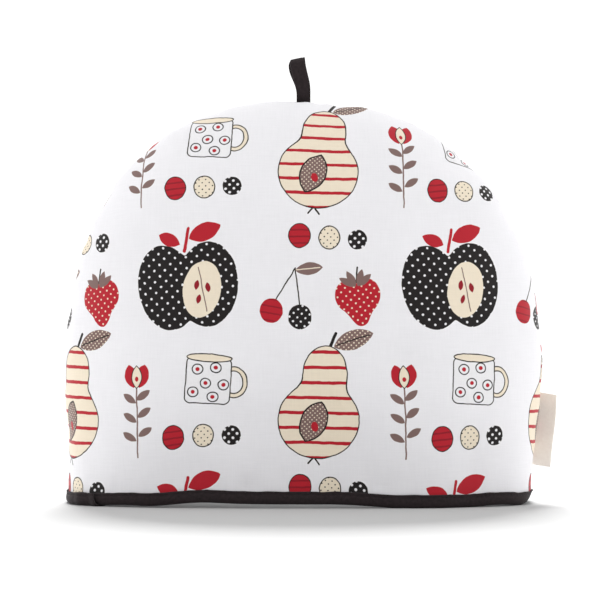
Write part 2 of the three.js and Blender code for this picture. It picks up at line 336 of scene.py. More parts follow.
def relief_at(face, flat_x, point):
    """How far the cloth's face stands out from the smooth dome."""
    x, y, z = point[..., 0], point[..., 1], point[..., 2]
    to_seam = np.abs(y - np.where(x > 0, seam_line_at(z), 0))
    opened = smoothstep(z, *SEAM_OPENS)
    push = -opened * SEAM_DEPTH * np.exp(-((to_seam / SEAM_REACH) ** 2))
    push = push - opened * SEAM_NIP * np.exp(-to_seam / SEAM_NIP_REACH)
    along = along_arch(x, z)
    for row in SEAM_PUCKERS:
        fade = np.exp(-((to_seam / row[face]) ** 2))
        push = push + opened * row["deep"] * fade * bump(along - row["place"], row["reach"])
    for angle, out in OUTLINE_PUCKERS:
        fade = np.exp(-((to_seam / OUTLINE_PUCKER_REACH) ** 2))
        push = push + out * fade * bump(along - ARCH_RADIUS * math.radians(angle), OUTLINE_PUCKER_WIDTH)
    inward = smoothstep(to_seam, 4, 22)
    push = push + inward * opened * crease_at(face, x, z)
    for place, fades, reach, out in HEM_RIPPLES[face]:
        up = np.exp(-(((z - TAPE_HEIGHT) / fades) ** 2)) * smoothstep(z, 6.5, 10)
        push = push + out * up * bump(flat_x - place, reach)
    for at_x, at_z, reach, out in LUMPS[face]:
        push = push + inward * opened * out * bump(np.hypot(x - at_x, z - at_z), reach)
    return push


# %% [markdown]
# ## Flat cloth
# The print was on the cloth before it was cut, so the finish needs to know where each point was on the
# flat cloth. Across, that is the length along the level section from the panel's middle. Up, it is the
# length from the hem straight up. Both are measured in millimetres and kept as a UV map named cloth, so
# a pattern on it has its real size and bends with the cloth.

# %% Lengths on the flat cloth
COLUMNS = 176
ROWS_BELOW_SPRING = 54
ROWS_ABOVE_SPRING = 112
PANEL_HEM = 3  # the panel's lower edge, inside the tape
SECTION_STEPS = 801
CLIMB_STEPS = 48


def row_heights():
    below = PANEL_HEM + (SPRING_HEIGHT - PANEL_HEM) * np.linspace(0, 1, ROWS_BELOW_SPRING + 1)[:-1] ** 1.25
    sweep = np.linspace(0, QUARTER, ROWS_ABOVE_SPRING + 1)
    above = SPRING_HEIGHT + (DOME_HEIGHT - SPRING_HEIGHT) * np.sin(sweep) ** (2 / ARCH_POWER)
    return np.concatenate([below, above])


def columns_of_row(face, height):
    """The columns' angles at one height, closer together near the seams, and their flat places."""
    seam = float(right_seam_angle(np.array(height)))
    start, middle, end = (-QUARTER, 0, seam) if face == "front" else (seam, math.pi, 3 * QUARTER)
    crowded = np.sin(np.linspace(-QUARTER, QUARTER, SECTION_STEPS))
    angles = (start + end) / 2 + (end - start) / 2 * crowded
    points = dome_point(angles, np.full(SECTION_STEPS, float(height)))
    steps = np.linalg.norm(np.diff(points, axis=0), axis=1)
    lengths = np.concatenate([[0], np.cumsum(steps)])
    lengths -= np.interp(middle, angles, lengths)
    share = np.linspace(-1, 1, COLUMNS + 1)
    spread = 0.45 * share + 0.55 * np.sin(share * QUARTER)
    flat = np.where(share < 0, -lengths[0], lengths[-1]) * spread
    return np.interp(flat, lengths, angles), flat


def flat_heights(points):
    """Length up the cloth from the hem to each point, straight up at the point's own share across."""
    x, z = points[..., 0], points[..., 2]
    share = x / np.maximum(half_width_at(z, x), 1e-6)
    straight_x = np.abs(share) * half_width_at(z, x, drawn_in=False)
    climb = np.linspace(0, 1, CLIMB_STEPS)
    heights = PANEL_HEM + (z[..., None] - PANEL_HEM) * climb
    widths = half_width_at(heights, 1, drawn_in=False)
    power = plan_power_at(heights)
    across = np.clip(straight_x[..., None] / np.maximum(widths, 1e-6), 0, 1)
    depths = half_depth_at(heights) * (1 - across ** power) ** (1 / power)
    return np.hypot(np.diff(heights, axis=-1), np.diff(depths, axis=-1)).sum(axis=-1)


HEIGHTS = row_heights()
print(len(HEIGHTS), "rows, flat width at the hem", columns_of_row("front", PANEL_HEM)[1][[0, -1]].round())

# %% [markdown]
# ## The panels
# One grid becomes one panel. Each vertex of a grid from -1 to 1 already says which column and row it is
# in, so it only has to be moved to its place on the cloth. Then the grid is extruded inwards for the
# wadding. The wall is thin inside the tape, where the stitches press it flat.

# %% Panel builder
WALL_THICK = 7
WALL_AT_HEM = 4
WALL_THICKENS = (9.5, 34)  # between these heights
CLEARANCE = 0.3


def new_piece(name, bm, materials, smooth=True):
    """A finished mesh as an object at the origin, riding on the one body."""
    mesh = bpy.data.meshes.new(name)
    bm.to_mesh(mesh)
    bm.free()
    for material in materials:
        mesh.materials.append(material)
    if smooth:
        mesh.polygons.foreach_set("use_smooth", [True] * len(mesh.polygons))
    piece = add_object(name, mesh)
    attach(piece, "root")
    print(f"{name}: {sum(len(p.vertices) - 2 for p in mesh.polygons)} triangles")
    return piece


def grid_places(bm, across, up):
    """The column and row of each vertex of a grid made by create_grid with size 1."""
    places = np.array([vert.co[:2] for vert in bm.verts])
    columns = np.rint((places[:, 0] + 1) / 2 * across).astype(int)
    rows = np.rint((places[:, 1] + 1) / 2 * up).astype(int)
    return columns, rows


def move_to(verts, points):
    for vert, point in zip(verts, to_frame(points)):
        vert.co = point


def panel_surfaces(face):
    """Outer face, inner face and flat places of a panel, as arrays of rows and columns."""
    angles, flat_x = zip(*(columns_of_row(face, height) for height in HEIGHTS))
    angles, flat_x = np.array(angles), np.array(flat_x)
    heights = HEIGHTS[:, None] + 0 * angles
    smooth = dome_point(angles, heights)
    outer = cloth_point(angles, heights, relief_at(face, flat_x, smooth))
    wall = WALL_AT_HEM + (WALL_THICK - WALL_AT_HEM) * smoothstep(heights, *WALL_THICKENS)
    inner = cloth_point(angles, heights, -wall)
    apart = CLEARANCE / 2 if face == "back" else -CLEARANCE / 2
    for surface in (outer, inner):
        surface[:-1, 0, 1] += apart
        surface[:-1, -1, 1] += apart
    return outer, inner, flat_x, flat_heights(smooth)


def draw_cloth_map(bm, corner_places, name="cloth"):
    layer = bm.loops.layers.uv.new(name)
    for face in bm.faces:
        for loop in face.loops:
            loop[layer].uv = corner_places(face, loop)


# %% Build the panels
BAKE_WIDTH = 372  # flat millimetres across the bake's map
BAKE_LOW = 0.86  # where the faces that hardly show lie on that map
BAKE_SQUASH = 0.13 / 300
BAKE_INNER = (0.02, 0.38)  # left end and width
BAKE_RIM = (0.45, 0.5)


def make_panel(face, materials):
    rows = len(HEIGHTS) - 1
    outer, inner, flat_x, flat_z = panel_surfaces(face)
    bm = bmesh.new()
    bmesh.ops.create_grid(bm, x_segments=COLUMNS, y_segments=rows, size=1)
    columns_of, rows_of = grid_places(bm, COLUMNS, rows)
    column_layer = bm.verts.layers.int.new("column")
    row_layer = bm.verts.layers.int.new("row")
    for vert, column, row in zip(bm.verts, columns_of, rows_of):
        vert[column_layer], vert[row_layer] = int(column), int(row)
    move_to(bm.verts, outer[rows_of, columns_of])
    bmesh.ops.remove_doubles(bm, verts=bm.verts, dist=0.001 * MM)
    bmesh.ops.recalc_face_normals(bm, faces=bm.faces)

    outer_faces = set(bm.faces)
    made = bmesh.ops.extrude_face_region(bm, geom=bm.faces[:], use_keep_orig=True)
    inside = [item for item in made["geom"] if isinstance(item, bmesh.types.BMVert)]
    inner_faces = {item for item in made["geom"] if isinstance(item, bmesh.types.BMFace)}
    move_to(inside, inner[[v[row_layer] for v in inside], [v[column_layer] for v in inside]])
    bmesh.ops.recalc_face_normals(bm, faces=bm.faces)
    for made_face in bm.faces:
        made_face.material_index = 0 if made_face in outer_faces else 1

    def on_cloth(_, loop):
        row, column = loop.vert[row_layer], loop.vert[column_layer]
        return flat_x[row, column], flat_z[row, column]

    def on_bake_map(made_face, loop):
        x, z = on_cloth(made_face, loop)
        if made_face in outer_faces:
            return 0.5 + x / BAKE_WIDTH, 0.01 + z / BAKE_WIDTH
        left, wide = BAKE_INNER if made_face in inner_faces else BAKE_RIM
        return left + wide * (0.5 + x / BAKE_WIDTH), BAKE_LOW + BAKE_SQUASH * z

    draw_cloth_map(bm, on_cloth)
    draw_cloth_map(bm, on_bake_map, "OFBake")
    return new_piece(f"{face}_cloth", bm, materials)


# %% [markdown]
# ## Wiring up finishes
# A material is a board of nodes. Two small helpers keep it readable: a wire is a number or a vector on
# its way through the board, and sums on wires add the Math nodes. Colours are written as they look on a
# screen, from 0 to 255, and turned into the linear values that the renderer works with.

# %% Board and wires


def ink(red, green, blue):
    """A screen colour as the renderer's linear colour."""
    linear = [((c / 255 + 0.055) / 1.055) ** 2.4 if c > 10 else c / 255 / 12.92 for c in (red, green, blue)]
    return (*linear, 1)


class Wire:
    """A number or vector on its way through a board. Sums on it add nodes."""

    def __init__(self, board, socket):
        self.board = board
        self.socket = socket

    def __add__(self, other):
        return self.board.math("ADD", self, other)

    def __sub__(self, other):
        return self.board.math("SUBTRACT", self, other)

    def __mul__(self, other):
        return self.board.math("MULTIPLY", self, other)

    def __truediv__(self, other):
        return self.board.math("DIVIDE", self, other)

    def lower(self, other):
        return self.board.math("MINIMUM", self, other)

    def higher(self, other):
        return self.board.math("MAXIMUM", self, other)

    def melted_with(self, other, width):
        return self.board.math("SMOOTH_MIN", self, other, width)


class Board:
    """A node tree, with a short way to add each kind of node used here."""

    def __init__(self, tree):
        self.tree = tree

    def node(self, kind, **settings):
        node = self.tree.nodes.new(kind)
        for name, value in settings.items():
            setattr(node, name, value)
        return node

    def plug(self, socket, value):
        if isinstance(value, Wire):
            self.tree.links.new(value.socket, socket)
        elif value is not None:
            socket.default_value = value

    def math(self, operation, *values):
        node = self.node("ShaderNodeMath", operation=operation)
        for socket, value in zip(node.inputs, values):
            self.plug(socket, value)
        return Wire(self, node.outputs[0])

    def vector(self, operation, *values):
        node = self.node("ShaderNodeVectorMath", operation=operation)
        for socket, value in zip(node.inputs, values):
            self.plug(socket, value)
        return Wire(self, node.outputs["Value" if operation in ("LENGTH", "DOT_PRODUCT") else "Vector"])

    def along(self, point, turn):
        """How far the point lies along a direction on the cloth."""
        turn = math.radians(turn)
        return self.vector("DOT_PRODUCT", point, (math.cos(turn), math.sin(turn), 0))

    def placed(self, point, place, turn=0):
        """The point as seen from a spot on the cloth, turned there."""
        near = self.vector("SUBTRACT", point, (*place, 0))
        return self.join(self.along(near, turn), self.along(near, turn + 90)) if turn else near

    def join(self, x, y):
        node = self.node("ShaderNodeCombineXYZ")
        self.plug(node.inputs[0], x)
        self.plug(node.inputs[1], y)
        return Wire(self, node.outputs[0])

    def noise(self, point, scale, detail=2.0, rough=0.5, output="Fac"):
        node = self.node("ShaderNodeTexNoise")
        self.plug(node.inputs["Vector"], point)
        node.inputs["Scale"].default_value = scale
        node.inputs["Detail"].default_value = detail
        node.inputs["Roughness"].default_value = rough
        return Wire(self, node.outputs[output])

    def mix(self, share, first, second, blend="MIX"):
        node = self.node("ShaderNodeMix", data_type="RGBA", blend_type=blend)
        self.plug(node.inputs[0], share)
        self.plug(node.inputs[6], first)
        self.plug(node.inputs[7], second)
        return Wire(self, node.outputs[2])

    def uv_map(self, name):
        return Wire(self, self.node("ShaderNodeUVMap", uv_map=name).outputs[0])


# %% [markdown]
# ## A pen for printed motifs
# A printed shape is a distance: negative inside the shape, positive outside, in millimetres. The pen
# knows a few such distances, and paints ink where one is negative. Shapes that melt into each other, cut
# each other or carry stripes and dots are then only sums of distances, and lines stay crisp at any size.

# %% Pen
EDGE = 0.22  # how softly the ink ends
LINE = 0.75
RED = ink(184, 26, 42)
DEEP_RED = ink(146, 18, 34)
CREAM = ink(240, 227, 205)
TAUPE = ink(128, 103, 98)
CHARCOAL = ink(25, 20, 20)
WHITE = ink(240, 239, 241)


class Pen:
    """Draws one motif round the origin. It keeps the ink so far and how much cloth it covers."""

    def __init__(self, board, point):
        self.board = board
        self.point = point
        self.colour = CREAM
        self.cover = 0.0

    def ellipse(self, x, y, wide, tall, turn=0):
        half = (wide / 2, tall / 2)
        near = self.board.vector("DIVIDE", self.board.placed(self.point, (x, y), turn), (*half, 1))
        ratio = self.board.vector("LENGTH", near)
        slope = self.board.vector("LENGTH", self.board.vector("DIVIDE", near, (*half, 1)))
        return ratio * (ratio - 1) / slope

    def leaf(self, x, y, long, wide, turn=0):
        a, b = long / 2, wide / 2
        radius = (a * a + b * b) / (2 * b)
        near = self.board.vector("ABSOLUTE", self.board.placed(self.point, (x, y), turn))
        return self.board.vector("LENGTH", self.board.vector("ADD", near, (0, radius - b, 0))) - radius

    def line(self, x1, y1, x2, y2, width):
        turn = math.degrees(math.atan2(y2 - y1, x2 - x1))
        half = math.hypot(x2 - x1, y2 - y1) / 2
        near = self.board.placed(self.point, ((x1 + x2) / 2, (y1 + y2) / 2), turn)
        over = self.board.vector("SUBTRACT", self.board.vector("ABSOLUTE", near), (half, 0, 0))
        return self.board.vector("LENGTH", self.board.vector("MAXIMUM", over, (0, 0, 0))) - width / 2

    def box(self, x, y, wide, tall, turn=0, corner=0.5):
        near = self.board.placed(self.point, (x, y), turn)
        half = (wide / 2 - corner, tall / 2 - corner, 1)
        over = self.board.vector("SUBTRACT", self.board.vector("ABSOLUTE", near), half)
        return self.board.vector("LENGTH", self.board.vector("MAXIMUM", over, (0, 0, 0))) - corner

    def stripes(self, pitch, width, shift=0.0, turn=0):
        across = self.board.along(self.point, turn + 90) - shift
        return self.board.math("PINGPONG", across, pitch / 2) - width / 2

    def dots(self, pitch, across, shift=(0, 0)):
        half = pitch / 2
        first = self.board.placed(self.point, shift)
        second = self.board.placed(self.point, (shift[0] + half, shift[1] + half))
        rounds = [
            self.board.vector("LENGTH", self.board.vector("WRAP", spot, (half, half, 1), (-half, -half, -1)))
            for spot in (first, second)
        ]
        return rounds[0].lower(rounds[1]) - across / 2

    def ring(self, distance, width):
        return self.board.math("ABSOLUTE", distance) - width / 2

    def paint(self, distance, colour):
        share = self.board.math("MULTIPLY_ADD", distance, -1 / EDGE, 0.5)
        self.colour = self.board.mix(share, self.colour, colour)
        self.cover = share if self.cover == 0.0 else self.cover.higher(share)

    def outline(self, shape, width=LINE):
        self.paint(self.ring(shape, width), CHARCOAL)

    def stroke(self, x1, y1, x2, y2, width, colour):
        self.paint(self.line(x1, y1, x2, y2, width), colour)

    def dotted(self, shape, colour, *dots):
        self.paint(shape.higher(self.dots(*dots)), colour)

    def striped(self, shape, colour, *stripes):
        self.paint(shape.higher(self.stripes(*stripes)), colour)


# %% [markdown]
# ## The motifs
# The cloth is a cheerful kitchen print: fruit, flowers and crockery in red, charcoal, cream and taupe on
# white, drawn with thin uneven lines. Every motif is a node group of its own, so each can be changed
# without touching the others.

# %% Fruit motifs


def striped_pear(pen):
    body = pen.ellipse(0, -13, 50, 48).melted_with(pen.ellipse(2, 17, 27, 34), 13)
    pen.stroke(3, 31, 7, 42, 2.0, CHARCOAL)
    leaf = pen.leaf(18, 39, 26, 12, 24)
    pen.paint(leaf, TAUPE)
    pen.dotted(leaf, CREAM, 3.1, 0.9)
    pen.stroke(8, 35, 28, 43, 0.7, CHARCOAL)
    pen.paint(body, CREAM)
    pen.striped(body, RED, 9.5, 2.1, 1.5, 3)
    heart = pen.leaf(-3, -14, 27, 16, 72)
    pen.paint(heart, TAUPE)
    pen.dotted(heart, CREAM, 2.9, 0.8, (0.4, 0.2))
    pen.outline(heart, 0.9)
    pen.paint(pen.ellipse(-2, -17, 4.2, 6, 20), RED)
    pen.outline(body)
    pen.paint(pen.line(-2, -37.5, -4.5, -40.5, 1.1).lower(pen.line(0, -37.5, 2.5, -40.8, 1.1)), CHARCOAL)


def dotted_apple(pen):
    left, right = pen.ellipse(-13, -3, 38, 54, 6), pen.ellipse(13, -3, 38, 54, -6)
    body = left.melted_with(right, 4)
    pen.stroke(0, 19, 4, 33, 2.0, RED)
    pen.paint(pen.leaf(14, 30, 22, 11, 18), RED)
    pen.paint(pen.leaf(-9, 27, 15, 8, 152), RED)
    pen.paint(body, CHARCOAL)
    pen.dotted(body, WHITE, 7.0, 1.5, (0.6, 1.2))
    pen.paint(pen.ellipse(9, -6, 24, 36, -14), CREAM)
    pen.stroke(8, 8, 11, -20, 0.7, TAUPE)
    pips = pen.leaf(6, -3, 6.5, 3.2, 78).lower(pen.leaf(13, -5, 6.5, 3.2, 98))
    pen.paint(pips.lower(pen.leaf(6.5, -12, 6, 3, 70)), DEEP_RED)


def strawberry(pen):
    body = pen.ellipse(-4.6, 2.5, 19, 21, 14).melted_with(pen.ellipse(4.6, 2.5, 19, 21, -14), 5)
    body = body.melted_with(pen.ellipse(0, -8, 12, 18), 9)
    pen.paint(body, RED)
    pen.dotted(body, CREAM, 5.2, 1.15, (0.5, 0.4))
    pen.stroke(0, 11, 2, 20, 1.1, CHARCOAL)
    for turn in (158, 118, 62, 22):
        x, y = 6 * math.cos(math.radians(turn)), 10.5 + 3.3 * math.sin(math.radians(turn))
        pen.paint(pen.leaf(x, y, 11, 4.4, turn * 0.8 + 18), TAUPE)


def cherries(pen):
    pen.paint(pen.line(-9, -7, 3, 18, 0.9).lower(pen.line(9, -9, 3, 18, 0.9)), CHARCOAL)
    pen.paint(pen.leaf(11.5, 18.5, 17, 8, 12), TAUPE)
    pen.stroke(4, 17, 18, 20, 0.6, CREAM)
    red_one, dark_one = pen.ellipse(-9, -10, 14.5, 15.5), pen.ellipse(9, -12, 14.5, 15.5)
    pen.paint(red_one, RED)
    pen.striped(red_one, DEEP_RED, 4.4, 0.9, 0.8, -4)
    pen.paint(dark_one, CHARCOAL)
    pen.dotted(dark_one, WHITE, 5.0, 1.3)


# %% Flower and crockery motifs


def tulip(pen):
    pen.stroke(0, -29, 0.6, 17, 1.0, TAUPE)
    leaves = ((-5, -16, 148), (5.2, -13, 32), (-4.6, -4, 146), (4.8, -1, 34), (-4.2, 8, 144), (4.6, 10, 36))
    for x, y, turn in leaves:
        pen.paint(pen.leaf(x, y, 10.5, 4.6, turn), TAUPE)
    pen.paint(pen.leaf(-3.2, 22, 15, 8.5, 104).lower(pen.leaf(4, 22, 15, 8.5, 76)), RED)
    heart = pen.leaf(0.5, 21.5, 14, 6.5, 90)
    pen.paint(heart, CREAM)
    pen.outline(heart, 0.6)
    pen.paint(pen.ellipse(0.5, 20, 2.2, 3.0), RED)


def mug(pen):
    pen.paint(pen.ring(pen.ellipse(13, -1, 14, 17), 2.4), CREAM)
    outer = pen.ring(pen.ellipse(13, -1, 16.6, 19.6), LINE)
    inner = pen.ring(pen.ellipse(13, -1, 11.4, 14.4), LINE)
    pen.paint(outer.lower(inner), CHARCOAL)
    body = pen.box(-3, -1, 28, 29, 0, 3.5)
    pen.paint(body, WHITE)
    for x, y in ((-10, 6), (1.5, 7.5), (-4.5, -2.5), (6.5, -3), (-12, -8.5), (0.5, -11)):
        pen.paint(pen.ring(pen.ellipse(x, y, 6.6, 6.2), LINE).higher(body), CHARCOAL)
        pen.paint(pen.ellipse(x, y, 2.6, 2.6).higher(body), RED)
    pen.outline(body)
    rim = pen.ellipse(-3, 13.5, 28, 5)
    pen.paint(rim, CREAM)
    pen.outline(rim)


def blossoms(pen):
    red_one = pen.ellipse(-18.5, 0, 13.5, 15.5)
    pen.paint(red_one, RED)
    pen.striped(red_one, DEEP_RED, 4.2, 1.1, 1.0, 5)
    pen.outline(red_one, 0.6)
    pale_one = pen.ellipse(0, 0, 13, 14.5)
    pen.paint(pale_one, CREAM)
    pen.dotted(pale_one, CHARCOAL, 4.2, 0.9, (0.9, 0.6))
    pen.outline(pale_one)
    dark_one = pen.ellipse(17.5, 0, 12, 12.5)
    pen.paint(dark_one, CHARCOAL)
    pen.dotted(dark_one, WHITE, 5.2, 1.7, (0.3, 0.9))


# %% [markdown]
# ## The printed cotton
# The repeat is a rectangle of cloth with a place for each motif. Every motif folds the cloth's map into
# its own repeat, so none is cut at the edge of the rectangle. A little noise on the map first gives the
# lines their hand-drawn wobble. Under the print lies a plain weave: a fine bump of crossing yarns, some
# thicker than others, which also tint the white a little.

# %% Print and weave
REPEAT = (166, 158)
PRINT_SHIFT = {"front": (-30, 20), "back": (44, -50)}
LAYOUT = [  # motif, x, y, turn
    (striped_pear, 40, 43, -4), (dotted_apple, 123, 118, 5), (tulip, 92, 36, 2), (mug, 140, 56, -3),
    (blossoms, 134, 20, 2), (strawberry, 64, 106, 8), (cherries, 20, 108, -6), (blossoms, 46, 145, -4),
]


def motif_group(draw):
    """A node group that draws one motif round the origin of its Point."""
    name = draw.__name__
    if name in bpy.data.node_groups:
        return bpy.data.node_groups[name]
    tree = bpy.data.node_groups.new(name, "ShaderNodeTree")
    tree.interface.new_socket("Point", in_out="INPUT", socket_type="NodeSocketVector")
    tree.interface.new_socket("Colour", in_out="OUTPUT", socket_type="NodeSocketColor")
    tree.interface.new_socket("Cover", in_out="OUTPUT", socket_type="NodeSocketFloat")
    board = Board(tree)
    pen = Pen(board, Wire(board, board.node("NodeGroupInput").outputs[0]))
    draw(pen)
    finished = board.node("NodeGroupOutput")
    board.plug(finished.inputs[0], pen.colour)
    board.plug(finished.inputs[1], pen.cover)
    print(f"motif {name}: {len(tree.nodes)} nodes")
    return tree


def printed(board, cloth, shift, ground):
    """The ground with the whole repeat printed on it."""
    wide, tall = REPEAT
    wobble = board.vector("SUBTRACT", board.noise(cloth, 0.11, 2.0, 0.6, "Color"), (0.5, 0.5, 0.5))
    drawn = board.vector("MULTIPLY_ADD", wobble, (1.3, 1.3, 0), cloth)
    colour = ground
    for draw, x, y, turn in LAYOUT:
        near = board.vector("SUBTRACT", drawn, (x + shift[0], y + shift[1], 0))
        folded = board.vector("WRAP", near, (wide / 2, tall / 2, 1), (-wide / 2, -tall / 2, -1))
        group = board.node("ShaderNodeGroup", node_tree=motif_group(draw))
        board.plug(group.inputs[0], board.placed(folded, (0, 0), turn))
        colour = board.mix(Wire(board, group.outputs[1]), colour, Wire(board, group.outputs[0]))
    return colour


def plain_weave(board, cloth, pitch):
    """Height of crossing yarns, from 0 to 1, and the slubs that make some thicker."""
    x, y = board.along(cloth, 0), board.along(cloth, 90)
    rate = math.pi / pitch
    warp = board.math("ABSOLUTE", board.math("SINE", x * rate))
    weft = board.math("ABSOLUTE", board.math("SINE", y * rate))
    over = board.math("SINE", x * rate) * board.math("SINE", y * rate)
    yarns = warp * 0.5 + weft * 0.5 + over * 0.25
    slub_up = board.noise(board.join(x * 1.3, y * 0.07), 1.0, 3.0)
    slub_across = board.noise(board.join(x * 0.07, y * 1.3), 1.0, 3.0)
    return yarns, slub_up + slub_across


def new_material(name, sheen=0.0, sheen_rough=0.5, gloss=0.0):
    material = bpy.data.materials.new(name)
    material.use_nodes = True
    tree = material.node_tree
    tree.nodes.clear()
    board = Board(tree)
    shader = board.node("ShaderNodeBsdfPrincipled")
    out = board.node("ShaderNodeOutputMaterial")
    tree.links.new(shader.outputs[0], out.inputs[0])
    shader.inputs["Sheen Weight"].default_value = sheen
    shader.inputs["Sheen Roughness"].default_value = sheen_rough
    shader.inputs["Specular IOR Level"].default_value = gloss
    return material, board, shader


def add_bump(board, shader, height, strength, distance):
    node = board.node("ShaderNodeBump")
    node.inputs["Strength"].default_value = strength
    node.inputs["Distance"].default_value = distance
    board.plug(node.inputs["Height"], height)
    board.tree.links.new(node.outputs[0], shader.inputs["Normal"])


def cotton_finish(name, shift=None):
    material, board, shader = new_material(name, 0.3, 0.5, 0.25)
    cloth = board.uv_map("cloth")
    yarns, slubs = plain_weave(board, cloth, 0.55)
    blotches = board.noise(cloth, 0.035, 3.0)
    ground = board.mix(blotches, ink(239, 238, 241), ink(244, 243, 246))
    colour = printed(board, cloth, shift, ground) if shift else ground
    grain = board.math("MULTIPLY_ADD", slubs, 0.08, 0.92) * board.math("MULTIPLY_ADD", yarns, 0.04, 0.97)
    shade = board.join(grain, grain)
    board.tree.links.new(grain.socket, shade.socket.node.inputs[2])
    board.plug(shader.inputs["Base Color"], board.mix(1.0, colour, shade, "MULTIPLY"))
    board.plug(shader.inputs["Roughness"], board.math("MULTIPLY_ADD", slubs, 0.12, 0.78))
    add_bump(board, shader, yarns * 0.6 + slubs * 0.5, 0.3, 0.1 * MM)
    return material


front_cotton = cotton_finish("printed_cotton_front", PRINT_SHIFT["front"])
back_cotton = cotton_finish("printed_cotton_back", PRINT_SHIFT["back"])
plain_cotton = cotton_finish("plain_cotton")

# %% [markdown]
# ## Dress the panels
# Each cloth panel now replaces the plain solid of the imported model. A wadded panel is a thick sheet.

for side, cotton in (("front", front_cotton), ("back", back_cotton)):
    panel = make_panel(side, [cotton, plain_cotton])
    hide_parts(f"{side}_panel")

# %% [markdown]
# ## Folded tapes
# The hem tape, the loop and the label are all a strip folded along its length, so one builder serves
# them. It takes the middle line of the folded strip's section, thickens it into a closed outline with
# round folds, and carries that along the tape as a grid: its columns are the steps along the tape, and
# its rows go round the outline.

# %% Folded strip builder
ROUND_STEPS = 4


def arc(centre, radius, start, end, steps):
    turns = np.radians(np.linspace(start, end, steps + 1))
    return np.stack([centre[0] + radius * np.cos(turns), centre[1] + radius * np.sin(turns)], axis=1)


def straight(start, end, steps):
    share = np.linspace(0, 1, steps + 1)[:, None]
    return np.array(start) + (np.array(end) - np.array(start)) * share


def thickened(path, thickness):
    """The closed outline of a strip whose section follows the path, with round ends."""
    slope = np.gradient(path, axis=0)
    slope /= np.linalg.norm(slope, axis=1, keepdims=True)
    side = np.stack([slope[:, 1], -slope[:, 0]], axis=1) * thickness / 2
    last_turn = math.degrees(math.atan2(side[-1, 1], side[-1, 0]))
    first_turn = math.degrees(math.atan2(-side[0, 1], -side[0, 0]))
    far = arc(path[-1], thickness / 2, last_turn, last_turn + 180, ROUND_STEPS)[1:-1]
    near = arc(path[0], thickness / 2, first_turn, first_turn + 180, ROUND_STEPS)[1:-1]
    return np.concatenate([path + side, far, (path - side)[::-1], near])


def folded_once(edge, far, thick, layer, steps):
    """The outline of a strip folded in half, from its two edges to the outside of its fold."""
    way = math.copysign(1, far - edge)
    half = (thick - layer) / 2
    fold = far - way * thick / 2
    path = np.concatenate([
        straight((edge, -half), (fold, -half), steps),
        arc((fold, 0), half, -90, way * 180 - 90, 6)[1:-1],
        straight((fold, half), (edge, half), steps),
    ])
    return thickened(path, layer)


def make_strip(name, outline, stations, place, materials):
    """place(station, outline rows) gives the points in mm. The cloth map has the tape's own length."""
    count = len(outline)
    steps = len(stations) - 1
    closed = np.concatenate([outline, outline[:1]])
    around = np.concatenate([[0], np.cumsum(np.linalg.norm(np.diff(closed, axis=0), axis=1))])
    points = place(stations, closed)
    bm = bmesh.new()
    bmesh.ops.create_grid(bm, x_segments=steps, y_segments=count, size=1)
    columns_of, rows_of = grid_places(bm, steps, count)
    layer = bm.loops.layers.uv.new("cloth")
    for vert, column, row in zip(bm.verts, columns_of, rows_of):
        for loop in vert.link_loops:
            loop[layer].uv = (stations[column], around[row])
    move_to(bm.verts, points[columns_of, rows_of])
    bmesh.ops.remove_doubles(bm, verts=bm.verts, dist=0.001 * MM)
    ends = [edge for edge in bm.edges if edge.is_boundary]
    bmesh.ops.holes_fill(bm, edges=ends, sides=0)
    bmesh.ops.triangulate(bm, faces=[face for face in bm.faces if len(face.verts) > 4])
    bmesh.ops.recalc_face_normals(bm, faces=bm.faces)
    return new_piece(name, bm, materials)


# %% [markdown]
# ## Tape finishes
# The charcoal tape is a plain cotton tape of thicker yarns. Dark cloth shows lint and the pale ends of
# fibres, so its colour wanders a little and lightens on the yarns' crowns. The label is a fine ribbon,
# woven much more closely, with the slight sheen of polyester.

# %% Charcoal and cream


def tape_finish(name, dark, light, pitch, sheen, relief, rough):
    material, board, shader = new_material(name, sheen, 0.4, 0.3)
    cloth = board.uv_map("cloth")
    yarns, slubs = plain_weave(board, cloth, pitch)
    lint = board.noise(cloth, 0.5, 4.0, 0.65)
    share = board.math("MULTIPLY_ADD", yarns, 0.4, lint * 1.5 - 0.45)
    board.plug(shader.inputs["Base Color"], board.mix(share, dark, light))
    board.plug(shader.inputs["Roughness"], board.math("MULTIPLY_ADD", slubs, 0.1, rough))
    add_bump(board, shader, yarns * 0.7 + slubs * 0.4, 0.5, relief)
    return material


charcoal_tape = tape_finish("charcoal_tape", ink(20, 14, 16), ink(52, 42, 44), 0.6, 0.1, 0.25 * MM, 0.8)
charcoal_thread = tape_finish("charcoal_thread", ink(14, 10, 12), ink(36, 29, 31), 0.3, 0.05, 0.05 * MM, 0.7)
cream_ribbon = tape_finish("cream_ribbon", ink(240, 231, 221), ink(250, 243, 234), 0.32, 0.2, 0.06 * MM, 0.62)

# %% [markdown]
# ## The hem tape
# One tape is folded over the lower edge of both panels, all the way round. It starts near the left
# corner, goes round to the right, and its end is cut on a slant and sewn down on top of its start.
# Stitches near the upper fold draw it in, so the fold above them ripples.

# %% Path round the hem
TAPE = 1.1
TAPE_OUTSIDE = 1.5  # the tape's outer skin, outside the cloth's face
TAPE_INSIDE = -5.5
TAPE_CORNER = 1.9
TAPE_START = -68  # degrees round the hem
TAPE_END = 307.1
LAP = 15  # mm of the end that lies on the start
LAP_LIFT = 1.2
LAP_CURL = 2.2  # how far the end's lower corner stands off
END_SLANT = 4.2
STITCH_LEVEL = 6.4
HEM_SAMPLES = 4000

